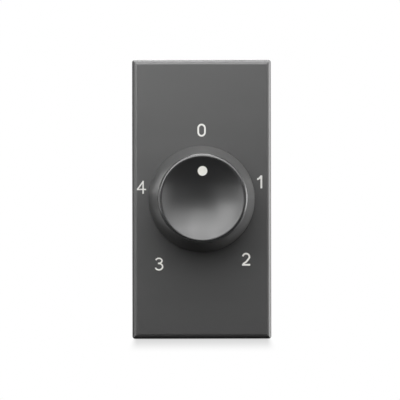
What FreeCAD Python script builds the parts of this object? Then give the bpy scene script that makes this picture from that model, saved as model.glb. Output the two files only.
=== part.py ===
# Fan speed control switch: a one module insert with a five position rotary selector.
# X points right as seen from the front, Y points back into the wall and Z points up.
# The origin lies on the knob's axis, in the plane where the flange seats on its frame.
# Places on the selector are given clockwise as seen from the front, from position 0 at the top.
# All sizes are in millimetres and all angles in degrees.
import FreeCAD, Part
import math
import os

V = FreeCAD.Vector
ORIGIN = V(0, 0, 0)
ACROSS = V(1, 0, 0)
BACK = V(0, 1, 0)
UP = V(0, 0, 1)
SIDES = (-1, 1)
TINY = 1e-4

# Front cover, the visible shell
cover_width = 22.4
cover_height = 45.0
cover_depth = 6.9
cover_front_wall = 1.8
cover_side_wall = 1.3
cover_corner_radius = 0.45
cover_edge_radius = 0.8
cover_hole_gap = 0.4
cover_rib = 0.9
cover_rib_z = 12.5
cover_pry_width = 5.0
cover_pry_depth = 0.8

# Snap hooks that hold the front cover on the housing
cover_hook_x = 5.5
cover_hook_width = 3.6
cover_hook_thickness = 0.9
cover_hook_barb = 0.6
cover_hook_barb_length = 1.0
cover_hook_gap = 0.15
cover_hook_lead = 0.2
collar_pocket_play = 0.35

# Housing: flange on the support frame, collar inside the cover, body in the wall
flange_thickness = 1.6
flange_inset = 0.1
collar_gap_x = 0.15
collar_gap_z = 1.3
collar_depth = 2.6
collar_wall = 1.2
collar_corner_radius = 0.6
bulkhead = 1.6
body_inset_x = 0.3
body_inset_z = 2.3
body_wall = 1.3
body_corner_radius = 0.8
frame_rail = 2.0

# Moulded relief on the long sides of the body: shallow panels with ribs between them
panel_depth = 0.3
panel_count = 3
panel_rib = 1.2
panel_margin = 2.6
panel_window_gap = 1.5

# Snap lugs that hold the housing in its support frame
lug_width = 6.0
lug_height = 0.9
lug_play = 0.1
lug_crest = 0.6
lug_ramp = 3.8
lug_tongue_start = 1.2
lug_tongue_length = 6.6
lug_slit = 0.7

# Vent slots
vent_width = 1.4
vent_pitch = 3.0
vent_length = 7.0
vent_margin = 2.5
top_vent_count = 5
rear_vent_count = 5
rear_vent_length = 11.0
rear_vent_margin = 3.4

# Rear cover
rear_thickness = 1.6
rear_edge_radius = 0.4
rear_play = 0.3
rear_rim = 0.9
rear_rim_depth = 1.4
rear_rim_gap = 0.1
rear_hook_width = 4.0
rear_hook_thickness = 0.85
rear_hook_length = 4.3
rear_hook_barb = 0.8
rear_hook_barb_length = 1.2
rear_hook_lead = 0.3
rear_hook_inset = 6.9
rear_hook_block_gap = 0.3
rear_window_play = 0.2
access_funnel = 0.5

# Knob
knob_gap = 0.6
knob_height = 9.5
knob_base_radius = 8.6
knob_rim_radius = 7.05
knob_rim_round = 0.5
knob_base_round = 0.3
knob_wall = 1.3
dish_depth = 1.9
dish_wall = 1.2
hub_wall = 1.75
hub_recess = 0.2
knob_rib = 0.9
knob_rib_count = 4
knob_rib_recess = 2.0
pointer_height = 4.36
pointer_radius = 0.77
pointer_depth = 0.85
pointer_proud = 0.05
pointer_gap = 0.01

# Shaft with its two flats, and the spring that grips the flat in the knob
shaft_radius = 3.0
shaft_flat = 1.5
shaft_chamfer = 0.4
shaft_front_gap = 0.3
shaft_fit = 0.02
flat_run_out = 0.4
journal_radius = 1.5
journal_tip = 0.2
spring_thickness = 0.3
spring_width = 2.2
spring_gap = 0.08
spring_foot = 1.5

# Threaded bush, its plate, washer, nut and the clip on the shaft
bush_wall = 1.0
bush_flat_depth = 0.5
bush_length = 5.0
bush_running = 0.05
bush_hole_gap = 0.1
plate_thickness = 1.0
plate_leg_width = 3.0
plate_leg_thickness = 0.5
plate_leg_gap = 0.05
washer_thickness = 0.5
washer_reach = 2.4
washer_tooth_count = 12
washer_tooth = 0.9
nut_wall = 1.0
nut_thickness = 1.8
nut_crown = 0.4
nut_fit = 0.05
clip_thickness = 0.6
clip_gap = 0.1
clip_reach = 1.3
clip_ring = 1.1
clip_groove = 0.7
clip_opening = 38.0
clip_prong = 1.2

# Rotary switch: moulded cup, rotor with detent star, leaf spring and wiper
switch_depth = 8.0
switch_wall = 0.5
switch_corner_radius = 0.8
cavity_gap = 0.4
stator_wall = 1.4
stator_running = 0.05
position_count = 5
position_step = 72.0
star_radius = 6.2
star_front_gap = 0.2
star_thickness = 2.4
notch_radius = 1.0
notch_offset = 0.2
carrier_drop = 1.0
carrier_gap = 0.7
stop_lug_half = 15.0
stop_post_half = 20.0
stop_play = 1.0
stop_lug_angle = 216.0
stop_lug_gap = 0.3
stop_gap = 0.15
stop_side_gap = 0.1
leaf_thickness = 0.25
leaf_width = 2.0
leaf_span = 13.0
leaf_gap = 0.6
leaf_seat_gap = 0.02
leaf_nose = 0.8
leaf_nose_gap = 0.1
leaf_nose_slope = 0.8
leaf_window = 3.4
pocket_gap = 0.15
wiper_thickness = 0.3
wiper_ring_radius = 3.6
wiper_arm_half = 9.0
wiper_arm_inset = 0.2
wiper_bore_gap = 0.1
wiper_nose_radius = 0.45
wiper_peg_radius = 0.4
wiper_peg_place = 2.75
contact_gap = 0.05

# Fixed contacts and their pins through the board
contact_thickness = 0.4
pad_inner = 4.1
pad_outer = 5.7
pad_half = 13.0
common_inner = 2.2
common_outer = 3.2
pin_width = 1.0
pin_thickness = 0.5
pin_gap = 0.05
pin_end_gap = 0.1

# Circuit board and its screws
board_thickness = 1.6
board_side_gap = 0.1
board_end_gap = 0.2
board_corner_radius = 0.6
board_gap = 0.2
board_screw_inset_x = 3.1
board_screw_inset_z = 2.0
board_screw_radius = 1.0
board_screw_length = 5.6
board_screw_head_radius = 1.75
board_screw_head = 1.2
board_screw_round = 0.4
board_screw_cross = 0.4
board_screw_fit = 0.02
board_boss_radius = 2.1
board_ledge = 0.8
board_ledge_top = -9.0

# Capacitors behind the board
capacitor_side_margin = 1.3
capacitor_rear_gap = 1.8
capacitor_radius = 0.6
large_capacitor_height = 11.5
capacitor_gap = 0.4
capacitor_block_gap = 0.9
capacitor_screw_gap = 0.35
capacitor_pitch = 10.0
lead_radius = 0.35
lead_gap = 0.05

# Resistors in front of the board
bleed_radius = 1.2
bleed_length = 6.0
bleed_pitch = 7.9
bleed_gap = 0.4
surge_radius = 2.2
surge_lead_margin = 2.0
surge_lead_reach = 2.0
resistor_gap = 0.3
resistor_end = 1.6
resistor_waist = 0.2
lead_bend = 0.8

# Terminal block with a rising cage on each side
terminal_side_wall = 0.95
terminal_middle_wall = 3.1
cage_side = 1.05
cage_length = 7.0
cage_floor = 1.2
cage_roof = 1.8
cage_corner_radius = 0.4
cage_gap = 0.15
cage_end_gap = 0.2
cage_front_gap = 0.8
cage_groove = 0.2
cage_groove_width = 0.6
cage_groove_count = 3
cage_travel = 3.6
wire_space = 3.8
bar_thickness = 1.1
bar_side_gap = 0.25
bar_slot_gap = 0.15
bar_roof_gap = 0.3
bar_tail_width = 2.4
bar_bend = 0.5
entry_radius = 1.9
entry_funnel = 0.6
entry_funnel_depth = 0.8
block_side_gap = 0.2
block_rear_wall = 1.0
block_floor = 1.5
block_ceiling = 0.7
block_lip = 0.9
block_gap = 0.1
spout_wall = 0.6
spout_front_wall = 0.3
spout_gap = 0.2
spout_recess = 0.1
screw_radius = 1.75
screw_fit = 0.05
screw_tip_gap = 0.1
screw_hole_gap = 0.25
screw_chamfer = 0.3
screw_head_radius = 2.7
screw_head = 1.6
screw_head_gap = 0.1
screw_slot_width = 0.7
screw_slot_depth = 0.8
screw_cover = 0.3
screw_well_gap = 0.2
screw_well_wall = 0.7
screw_well_play = 0.05

# Planes along Y that several pieces share, from the front backwards
cover_rear = -flange_thickness
cover_front = cover_rear - cover_depth
cover_inner = cover_front + cover_front_wall
collar_front = cover_rear - collar_depth
plate_front = collar_front + bulkhead
plate_rear = plate_front + plate_thickness
bush_front = plate_front - bush_length
washer_front = collar_front - washer_thickness
nut_front = washer_front - nut_thickness
clip_rear = bush_front - clip_gap
clip_front = clip_rear - clip_thickness
knob_base = cover_front - knob_gap
knob_front = knob_base - knob_height
dish_bottom = knob_front + dish_depth
knob_roof = dish_bottom + dish_wall
hub_rear = knob_base - hub_recess
shaft_front = knob_roof + shaft_front_gap
switch_rear = plate_rear + switch_depth
stator_front = switch_rear - stator_wall
star_front = plate_rear + star_front_gap
carrier_front = star_front + star_thickness
pad_front = stator_front - contact_thickness
carrier_rear = pad_front - carrier_gap
wiper_rear = carrier_rear + wiper_thickness
journal_rear = switch_rear - journal_tip
board_front = switch_rear + board_gap
board_rear = board_front + board_thickness
pin_rear = board_rear - pin_end_gap
cage_front = board_rear + cage_front_gap
floor_rear = cage_front + cage_floor
bar_front = floor_rear + wire_space
bar_rear = bar_front + bar_thickness
cage_window_rear = bar_rear + bar_roof_gap
cage_rear = cage_window_rear + cage_roof
chamber_rear = cage_rear + cage_travel + cage_end_gap
block_rear = chamber_rear + block_rear_wall
head_front = block_rear + screw_head_gap
head_rear = head_front + screw_head
body_depth = head_rear + rear_play
entry_y = floor_rear + wire_space / 2
spout_front = entry_y - entry_radius - entry_funnel - spout_front_wall
lug_catch = frame_rail + lug_play

# Half sizes of the shells, across X and Z
body_half_x = cover_width / 2 - body_inset_x
body_half_z = cover_height / 2 - body_inset_z
cavity_half_x = body_half_x - body_wall
cavity_half_z = body_half_z - body_wall
collar_half_x = cover_width / 2 - cover_side_wall - collar_gap_x
collar_half_z = cover_height / 2 - cover_side_wall - collar_gap_z
board_half_x = cavity_half_x - board_side_gap
board_half_z = cavity_half_z - board_end_gap
board_screw_x = cavity_half_x - board_screw_inset_x
board_screw_z = cavity_half_z - board_screw_inset_z
capacitor_half_x = board_half_x - capacitor_side_margin
block_half_x = cavity_half_x - block_side_gap

# Round pieces on the knob's axis
bush_radius = shaft_radius + bush_wall
bush_flat = bush_radius - bush_flat_depth
washer_radius = bush_radius + washer_reach
nut_flats = 2 * (bush_radius + nut_wall)
clip_radius = shaft_radius + clip_reach
cover_hole_radius = clip_radius + cover_hole_gap
hub_radius = shaft_radius + hub_wall
dish_radius = (knob_rim_radius ** 2 + dish_depth ** 2) / (2 * dish_depth)
dish_centre = dish_bottom - dish_radius

# Inside the rotary switch
switch_cavity = star_radius + cavity_gap
leaf_height = star_radius + leaf_gap
leaf_ceiling = leaf_height + leaf_thickness + pocket_gap
switch_half = leaf_ceiling + switch_wall
carrier_radius = star_radius - carrier_drop
stop_post_angle = stop_lug_angle - stop_lug_half - stop_post_half - stop_play
pad_middle = (pad_inner + pad_outer) / 2
common_middle = (common_inner + common_outer) / 2

# Places of the terminals and of the components on the board
chamber_half_x = (block_half_x - terminal_side_wall - terminal_middle_wall / 2) / 2
terminal_x = terminal_middle_wall / 2 + chamber_half_x
cage_half_x = chamber_half_x - cage_gap
cage_window_half = cage_half_x - cage_side
bar_half_x = cage_window_half - bar_side_gap
chamber_half_z = cage_length / 2 + cage_end_gap
block_low = -cavity_half_z + block_gap
terminal_z = block_low + block_floor + chamber_half_z
chamber_top = terminal_z + chamber_half_z
bar_leg_low = chamber_top + block_ceiling + block_gap
bar_leg_high = bar_leg_low + bar_thickness
block_top = bar_leg_high + block_lip
spout_half = terminal_x + entry_radius + entry_funnel + spout_wall
large_capacitor_z = block_top + capacitor_block_gap + large_capacitor_height / 2
small_capacitor_low = large_capacitor_z + large_capacitor_height / 2 + capacitor_gap
small_capacitor_high = board_screw_z - board_screw_head_radius - capacitor_screw_gap
small_capacitor_height = small_capacitor_high - small_capacitor_low
small_capacitor_z = (small_capacitor_low + small_capacitor_high) / 2
lower_bleed_z = switch_half + bleed_gap + bleed_radius
upper_bleed_z = lower_bleed_z + 2 * bleed_radius + bleed_gap
surge_z = -(switch_half + cavity_half_z) / 2
surge_pitch = 2 * (board_half_x - surge_lead_margin)
surge_length = surge_pitch - 2 * surge_lead_reach
rear_hook_z = (cavity_half_z - rear_hook_inset, block_top + rear_hook_block_gap + rear_hook_width / 2)


def block(x0, x1, y0, y1, z0, z1):
    """A box between two limits along each axis, given in either order."""
    (x0, x1), (y0, y1), (z0, z1) = sorted((x0, x1)), sorted((y0, y1)), sorted((z0, z1))
    return Part.makeBox(x1 - x0, y1 - y0, z1 - z0, V(x0, y0, z0))


def centred(x, z, half_x, half_z, y0, y1):
    """A box along Y, centred at x and z, with its half sizes."""
    return block(x - half_x, x + half_x, y0, y1, z - half_z, z + half_z)


def rod(radius, y0, y1, x=0.0, z=0.0):
    """A round bar along Y."""
    return Part.makeCylinder(radius, y1 - y0, V(x, y0, z), BACK)


def tube(outer, inner, y0, y1, x=0.0, z=0.0):
    """A round tube along Y."""
    return rod(outer, y0, y1, x, z).cut(rod(inner, y0, y1, x, z))


def turn(shape, angle):
    """A copy turned about the knob's axis, clockwise as seen from the front."""
    copy = shape.copy()
    copy.rotate(ORIGIN, BACK, angle)
    return copy


def edges_along(shape, axis, test=lambda centre: True):
    """The straight edges along one axis whose centres pass a test."""
    found = []
    for edge in shape.Edges:
        if not isinstance(edge.Curve, (Part.Line, Part.LineSegment)):
            continue
        if edge.tangentAt(edge.FirstParameter).cross(axis).Length < TINY and test(edge.CenterOfMass):
            found.append(edge)
    return found


def edges_in_plane(shape, y):
    """The edges that lie in one plane across Y."""
    found = []
    for edge in shape.Edges:
        box = edge.BoundBox
        if abs(box.Center.y - y) < TINY and box.YLength < 10 * TINY:
            found.append(edge)
    return found


def rounded_plate(half_x, half_z, radius, y0, y1):
    """A plate across Y with round corners, centred on the knob's axis."""
    plate = centred(0, 0, half_x, half_z, y0, y1)
    return plate.makeFillet(radius, edges_along(plate, BACK))


def closed_face(points):
    """A flat face inside a closed run of straight edges."""
    return Part.Face(Part.makePolygon(points + points[:1]))


def turned(profile):
    """A solid turned about the knob's axis from a closed list of radius and y pairs."""
    return closed_face([V(radius, y, 0) for radius, y in profile]).revolve(ORIGIN, BACK, 360)


def profile_yz(points, x0, x1):
    """A solid along X from a closed list of y and z pairs."""
    return closed_face([V(x0, y, z) for y, z in points]).extrude(V(x1 - x0, 0, 0))


def polar(radius, angle, y=0.0):
    """A point at a radius and a clockwise angle from the top."""
    turned_by = math.radians(angle)
    return V(radius * math.sin(turned_by), y, radius * math.cos(turned_by))


def sector(inner, outer, angle, half_angle, y0, y1):
    """A piece of a ring between two radii, centred on a clockwise angle from the top."""
    start, end = angle - half_angle, angle + half_angle
    edges = [
        Part.Arc(polar(outer, start, y0), polar(outer, angle, y0), polar(outer, end, y0)).toShape(),
        Part.makeLine(polar(outer, end, y0), polar(inner, end, y0)),
        Part.Arc(polar(inner, end, y0), polar(inner, angle, y0), polar(inner, start, y0)).toShape(),
        Part.makeLine(polar(inner, start, y0), polar(outer, start, y0)),
    ]
    return Part.Face(Part.Wire(edges)).extrude(V(0, y1 - y0, 0))


def d_section(radius, flat, y0, y1):
    """A round bar along Y with a flat on its upper side."""
    return rod(radius, y0, y1).common(block(-radius, radius, y0, y1, -radius, flat))


def save(shape, name):
    """Write one named piece to its own file."""
    shape.removeSplitter().exportStep(f"parts/{name}.step")


def softened_plate(half_x, half_z, y0, y1):
    """The cover's outer form: round corners in outline and softened front edges."""
    outline = rounded_plate(half_x, half_z, cover_corner_radius, y0, y1)
    slab = centred(0, 0, half_x, half_z, y0, y1)
    at_front = lambda centre: abs(centre.y - y0) < TINY
    across = slab.makeFillet(cover_edge_radius, edges_along(slab, ACROSS, at_front))
    upright = slab.makeFillet(cover_edge_radius, edges_along(slab, UP, at_front))
    return outline.common(across).common(upright)


def cover_hook(side_x, side_z):
    """A snap hook of the cover, with its barb turned in towards the collar."""
    inner = collar_half_z + cover_hook_gap
    outer = inner + cover_hook_thickness
    tip = cover_rear - cover_hook_gap
    barb_front = tip - cover_hook_barb_length
    points = [
        (cover_inner, outer),
        (tip, outer),
        (tip, inner),
        (barb_front + cover_hook_lead, inner - cover_hook_barb),
        (barb_front, inner - cover_hook_barb),
        (barb_front, inner),
        (cover_inner, inner),
    ]
    placed = [(y, side_z * z) for y, z in points]
    x = side_x * cover_hook_x
    return profile_yz(placed, x - cover_hook_width / 2, x + cover_hook_width / 2)


def pry_notch():
    """The notch in the rear edge of the cover's bottom wall, for a flat screwdriver."""
    half = cover_pry_width / 2
    low = -cover_height / 2
    return block(-half, half, cover_rear - cover_pry_depth, cover_rear, low, low + cover_side_wall)


def make_front_cover():
    """The visible shell, with stiffening ribs and four snap hooks behind its face."""
    inner_x = cover_width / 2 - cover_side_wall
    inner_z = cover_height / 2 - cover_side_wall
    shell = softened_plate(cover_width / 2, cover_height / 2, cover_front, cover_rear)
    shell = shell.cut(centred(0, 0, inner_x, inner_z, cover_inner, cover_rear))
    shell = shell.cut([rod(cover_hole_radius, cover_front, cover_inner), pry_notch()])
    rib_rear = collar_front - cover_hook_gap
    hook_root = collar_half_z + cover_hook_gap
    features = []
    for side_z in SIDES:
        features.append(centred(0, side_z * cover_rib_z, inner_x, cover_rib / 2, cover_inner, rib_rear))
        for side_x in SIDES:
            x = side_x * cover_hook_x
            features.append(block(x - cover_rib / 2, x + cover_rib / 2, cover_inner, rib_rear,
                                  side_z * cover_rib_z, side_z * hook_root))
            features.append(cover_hook(side_x, side_z))
    return shell.fuse(features)


def collar_pocket(side_x, side_z):
    """The pocket in the collar behind the ledge that a cover hook catches."""
    front = cover_rear - cover_hook_barb_length - collar_pocket_play
    half = cover_hook_width / 2 + 2 * cover_hook_gap
    x = side_x * cover_hook_x
    floor = side_z * (collar_half_z - cover_hook_barb)
    return block(x - half, x + half, front, cover_rear, floor, side_z * cover_height / 2)


def snap_lug(side):
    """The ramp and catch on a flexible tongue, on the top or bottom wall."""
    root = body_half_z - lug_slit / 2
    crest = lug_catch + lug_crest
    points = [
        (lug_catch, root),
        (lug_catch, body_half_z + lug_height),
        (crest, body_half_z + lug_height),
        (crest + lug_ramp, body_half_z),
        (crest + lug_ramp, root),
    ]
    return profile_yz([(y, side * z) for y, z in points], -lug_width / 2, lug_width / 2)


def wall_cutter(x0, x1, y0, y1, side):
    """A cutter through the top or bottom wall of the body."""
    return block(x0, x1, y0, y1, side * (cavity_half_z - body_wall), side * (body_half_z + body_wall))


def tongue_slits(side):
    """The U of slits that frees a tongue in the top or bottom wall."""
    inner = lug_width / 2
    outer = inner + lug_slit
    front = lug_tongue_start - lug_slit
    end = lug_tongue_start + lug_tongue_length
    slits = wall_cutter(-outer, outer, front, lug_tongue_start, side)
    return slits.fuse([wall_cutter(inner, outer, front, end, side),
                       wall_cutter(-outer, -inner, front, end, side)])


def make_housing():
    """The moulded housing: flange, collar, bulkhead and the body behind them."""
    flange_half_x = cover_width / 2 - flange_inset
    flange_half_z = cover_height / 2 - flange_inset
    shape = rounded_plate(flange_half_x, flange_half_z, cover_corner_radius, cover_rear, 0)
    shape = shape.fuse([
        rounded_plate(collar_half_x, collar_half_z, collar_corner_radius, collar_front, cover_rear),
        rounded_plate(body_half_x, body_half_z, body_corner_radius, 0, body_depth),
    ])
    inner_x, inner_z = collar_half_x - collar_wall, collar_half_z - collar_wall
    shape = shape.cut(centred(0, 0, inner_x, inner_z, plate_front, 0))
    shape = shape.cut(centred(0, 0, cavity_half_x, cavity_half_z, 0, body_depth))
    shape = shape.cut(bush_hole())
    for side_z in SIDES:
        shape = shape.cut(tongue_slits(side_z)).fuse(snap_lug(side_z))
        for side_x in SIDES:
            shape = shape.cut(collar_pocket(side_x, side_z))
    shape = shape.fuse(board_supports())
    hole_front = board_rear - board_screw_length - journal_tip
    shape = shape.cut(board_screw_holes(board_screw_radius + board_screw_fit, hole_front, board_front))
    shape = shape.cut(top_vents()).cut(rear_hook_windows()).cut(side_panels())
    return shape.cut(spout_notch())


def bush_hole():
    """The hole for the bush through the bulkhead, with a flat that stops it turning."""
    radius = bush_radius + bush_hole_gap
    flat = -bush_flat - bush_hole_gap
    return rod(radius, collar_front, plate_front).cut(block(-radius, radius, collar_front, plate_front,
                                                            -radius, flat))


def board_supports():
    """Two screw bosses from the bulkhead and two ledges along the side walls."""
    supports = []
    for side in SIDES:
        x = side * board_screw_x
        supports.append(rod(board_boss_radius, plate_front, board_front, x, board_screw_z))
        inner, outer = side * (cavity_half_x - board_ledge), side * (cavity_half_x + body_wall / 2)
        supports.append(block(inner, outer, 0, board_front, -cavity_half_z, board_ledge_top))
    return supports


def board_screw_holes(radius, y0, y1):
    """Holes for the two board screws."""
    return [rod(radius, y0, y1, side * board_screw_x, board_screw_z) for side in SIDES]


def top_vents():
    """A row of slots in the top wall, over the capacitors."""
    start = body_depth - vent_margin - vent_length
    slots = []
    for index in range(top_vent_count):
        x = (index - (top_vent_count - 1) / 2) * vent_pitch
        slots.append(wall_cutter(x - vent_width / 2, x + vent_width / 2, start, start + vent_length, 1))
    return slots


def side_panels():
    """Shallow panels in both long sides of the body, in front of the rear cover's windows."""
    low, high = panel_margin - body_half_z, body_half_z - panel_margin
    length = (high - low - (panel_count - 1) * panel_rib) / panel_count
    rear = body_depth - rear_hook_length - rear_window_play - panel_window_gap
    panels = []
    for index in range(panel_count):
        z = low + index * (length + panel_rib)
        for side in SIDES:
            inner, outer = side * (body_half_x - panel_depth), side * (body_half_x + panel_depth)
            panels.append(block(inner, outer, panel_margin, rear, z, z + length))
    return panels


def rear_hook_windows():
    """Windows in the side walls that the rear cover's hooks snap into."""
    tip = body_depth - rear_hook_length
    half_z = rear_hook_width / 2 + rear_window_play
    windows = []
    for z in rear_hook_z:
        for side in SIDES:
            windows.append(block(side * (cavity_half_x - body_wall / 2), side * (body_half_x + body_wall),
                                 tip - rear_window_play, tip + rear_hook_barb_length + rear_window_play,
                                 z - half_z, z + half_z))
    return windows


def spout_notch():
    """The notch in the bottom wall, open to the rear, that the terminal block's spout fills."""
    half = spout_half + spout_gap
    return wall_cutter(-half, half, spout_front - spout_gap, body_depth, -1)


def rear_hook(side, z):
    """A snap hook of the rear cover, with its barb turned outwards."""
    face = cavity_half_x - rear_rim_gap
    tip = body_depth - rear_hook_length
    catch = tip + rear_hook_barb_length
    points = [
        (face - rear_hook_thickness, body_depth),
        (face - rear_hook_thickness, tip),
        (face - rear_hook_lead, tip),
        (face + rear_hook_barb, catch - rear_hook_lead),
        (face + rear_hook_barb, catch),
        (face, catch),
        (face, body_depth),
    ]
    outline = closed_face([V(side * x, y, z - rear_hook_width / 2) for x, y in points])
    return outline.extrude(V(0, 0, rear_hook_width))


def driver_access(x):
    """The hole over a terminal screw and the funnel that guides the driver into it."""
    rear = body_depth + rear_thickness
    radius = screw_head_radius - screw_cover
    mouth = V(x, rear - access_funnel, terminal_z)
    funnel = Part.makeCone(radius, radius + access_funnel, access_funnel, mouth, BACK)
    return [rod(radius, body_depth, rear, x, terminal_z), funnel]


def make_rear_cover():
    """The rear cover: plate, rim, hooks, screw wells and vents."""
    rear = body_depth + rear_thickness
    plate = rounded_plate(body_half_x, body_half_z, body_corner_radius, body_depth, rear)
    plate = plate.makeFillet(rear_edge_radius, edges_in_plane(plate, rear))
    rim_x = cavity_half_x - rear_rim_gap
    rim_z = cavity_half_z - rear_rim_gap
    rim_front = body_depth - rear_rim_depth
    rim = centred(0, 0, rim_x, rim_z, rim_front, body_depth)
    rim = rim.cut(centred(0, 0, rim_x - rear_rim, rim_z - rear_rim, rim_front, body_depth))
    notch_half = spout_half + spout_gap
    rim = rim.cut(block(-notch_half, notch_half, rim_front, body_depth, -rim_z, terminal_z))
    features = [rim]
    holes = []
    for side in SIDES:
        features += [rear_hook(side, z) for z in rear_hook_z]
        x = side * terminal_x
        well = screw_head_radius + screw_well_gap
        well_front = block_rear + screw_well_play
        features.append(tube(well + screw_well_wall, well, well_front, body_depth, x, terminal_z))
        holes += driver_access(x)
    for index in range(rear_vent_count):
        z = cavity_half_z - rear_vent_margin - index * vent_pitch
        holes.append(centred(0, z, rear_vent_length / 2, vent_width / 2, body_depth, rear))
    return plate.fuse(features).cut(holes)


def dish_y(radius):
    """How far back the dish lies at a radius from the knob's axis."""
    return dish_centre + math.sqrt(dish_radius ** 2 - radius ** 2)


def skirt_radius(y):
    """The knob's outer radius at a place along Y."""
    share = (knob_base - y) / knob_height
    return knob_base_radius + (knob_rim_radius - knob_base_radius) * share


def knob_outside():
    """The knob's outer form: a tapered skirt with a round dish in its front."""
    shape = turned([
        (0, knob_front - dish_depth),
        (skirt_radius(knob_front - dish_depth), knob_front - dish_depth),
        (knob_base_radius, knob_base),
        (0, knob_base),
    ])
    shape = shape.cut(Part.makeSphere(dish_radius, V(0, dish_centre, 0)))
    shape = shape.makeFillet(knob_rim_round, edges_in_plane(shape, knob_front))
    return shape.makeFillet(knob_base_round, edges_in_plane(shape, knob_base))


def knob_hollow():
    """The space under the knob: a tapered hollow that leaves the hub and its ribs."""
    hollow = turned([
        (0, knob_roof),
        (skirt_radius(knob_roof) - knob_wall, knob_roof),
        (knob_base_radius - knob_wall, knob_base),
        (0, knob_base),
    ])
    rib = block(-knob_rib / 2, knob_rib / 2, knob_roof, knob_base - knob_rib_recess, 0, knob_base_radius)
    step = 360 / knob_rib_count
    ribs = [turn(rib, (index + 0.5) * step) for index in range(knob_rib_count)]
    return hollow.cut([rod(hub_radius, knob_roof, hub_rear)] + ribs)


def make_knob():
    """The dished knob: outer form, hollow underside, hub with its bore, and pointer hole."""
    shape = knob_outside().cut(knob_hollow())
    shape = shape.cut(d_section(shaft_radius + shaft_fit, shaft_flat + shaft_fit, knob_roof, knob_base))
    slot_half = spring_width / 2 + spring_gap
    slot_top = shaft_flat + 2 * spring_gap + spring_thickness
    shape = shape.cut(block(-slot_half, slot_half, knob_roof, knob_base, 0, slot_top))
    pointer_back = dish_y(pointer_height) + pointer_depth
    return shape.cut(rod(pointer_radius, knob_front, pointer_back, 0, pointer_height))


def make_pointer_dot():
    """The white inlay, flush with the dish apart from a little height."""
    back = dish_y(pointer_height) + pointer_depth
    inlay = rod(pointer_radius - pointer_gap, knob_front, back, 0, pointer_height)
    return inlay.cut(Part.makeSphere(dish_radius - pointer_proud, V(0, dish_centre, 0)))


def make_grip_spring():
    """A strip between the shaft's flat and the hub, with a foot over the hub's rear face."""
    low = shaft_flat + spring_gap
    high = low + spring_thickness
    front = shaft_front + shaft_front_gap
    foot_rear = hub_rear + spring_thickness
    points = [
        (front, low),
        (foot_rear, low),
        (foot_rear, high + spring_foot),
        (hub_rear, high + spring_foot),
        (hub_rear, high),
        (front, high),
    ]
    return profile_yz(points, -spring_width / 2, spring_width / 2)


def make_shaft():
    """The shaft, with a flat for the knob, a groove for the clip, a flat for the rotor and a journal."""
    body = rod(shaft_radius, shaft_front, carrier_rear)
    body = body.makeChamfer(shaft_chamfer, edges_in_plane(body, shaft_front))
    body = body.cut(block(-shaft_radius, shaft_radius, shaft_front, hub_rear + flat_run_out,
                          shaft_flat, shaft_radius))
    body = body.cut(block(-shaft_radius, shaft_radius, star_front, carrier_rear,
                          shaft_flat, shaft_radius))
    groove_front, groove_rear = clip_front - bush_running, clip_rear + bush_running
    groove = tube(2 * shaft_radius, shaft_radius - clip_groove, groove_front, groove_rear)
    return body.cut(groove).fuse(rod(journal_radius, carrier_rear, journal_rear))


def make_clip():
    """The open clip in the shaft's groove, with three prongs."""
    seat = shaft_radius - clip_groove + bush_running
    ring = sector(clip_radius - clip_ring, clip_radius, 0, 180 - clip_opening, clip_front, clip_rear)
    prong = block(-clip_prong / 2, clip_prong / 2, clip_front, clip_rear,
                  shaft_radius - clip_groove, clip_radius - clip_ring / 2)
    prongs = [turn(prong, angle) for angle in (-120, 0, 120)]
    return ring.fuse(prongs).cut(rod(seat, clip_front, clip_rear))


def make_switch_plate():
    """The metal plate of the switch with its bush and two bent legs."""
    plate = rounded_plate(switch_half, switch_half, switch_corner_radius, plate_front, plate_rear)
    bush = rod(bush_radius, bush_front, plate_front)
    bush = bush.makeChamfer(shaft_chamfer, edges_in_plane(bush, bush_front))
    bush = bush.cut(block(-bush_radius, bush_radius, bush_front, plate_front, -bush_radius, -bush_flat))
    inner = switch_half + plate_leg_gap
    outer = inner + plate_leg_thickness
    half = plate_leg_width / 2
    legs = []
    for side in SIDES:
        legs.append(block(side * inner, side * outer, plate_front, pin_rear, -half, half))
        legs.append(block(side * shaft_radius, side * inner, plate_front, plate_rear, -half, half))
    return plate.fuse([bush] + legs).cut(rod(shaft_radius + bush_running, bush_front, plate_rear))


def make_lock_washer():
    """A flat washer with teeth cut round its edge."""
    shape = tube(washer_radius, bush_radius + bush_hole_gap, washer_front, collar_front)
    step = 360 / washer_tooth_count
    root = washer_radius - washer_tooth
    notch = sector(root, 2 * washer_radius, 0, step / 5, washer_front, collar_front)
    return shape.cut([turn(notch, index * step) for index in range(washer_tooth_count)])


def make_bush_nut():
    """A hexagon nut with its front corners taken off."""
    corner = nut_flats / math.sqrt(3)
    hexagon = closed_face([polar(corner, index * 60, nut_front) for index in range(6)])
    crown = turned([
        (0, nut_front),
        (nut_flats / 2, nut_front),
        (corner, nut_front + nut_crown),
        (corner, washer_front),
        (0, washer_front),
    ])
    nut = hexagon.extrude(V(0, nut_thickness, 0)).common(crown)
    return nut.cut(rod(bush_radius + nut_fit, nut_front, washer_front))


def contact_pin(radius, gap=0.0):
    """A flat pin above the knob's axis, or the slot for it with a gap all round."""
    return centred(0, radius, pin_width / 2 + gap, pin_thickness / 2 + gap, stator_front, pin_rear)


def contact_slots():
    """The slots in the stator wall and the board for all the contact pins."""
    slot = contact_pin(pad_middle, pin_gap)
    pads = [turn(slot, index * position_step) for index in range(1, position_count)]
    return [contact_pin(common_middle, pin_gap)] + pads


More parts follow.
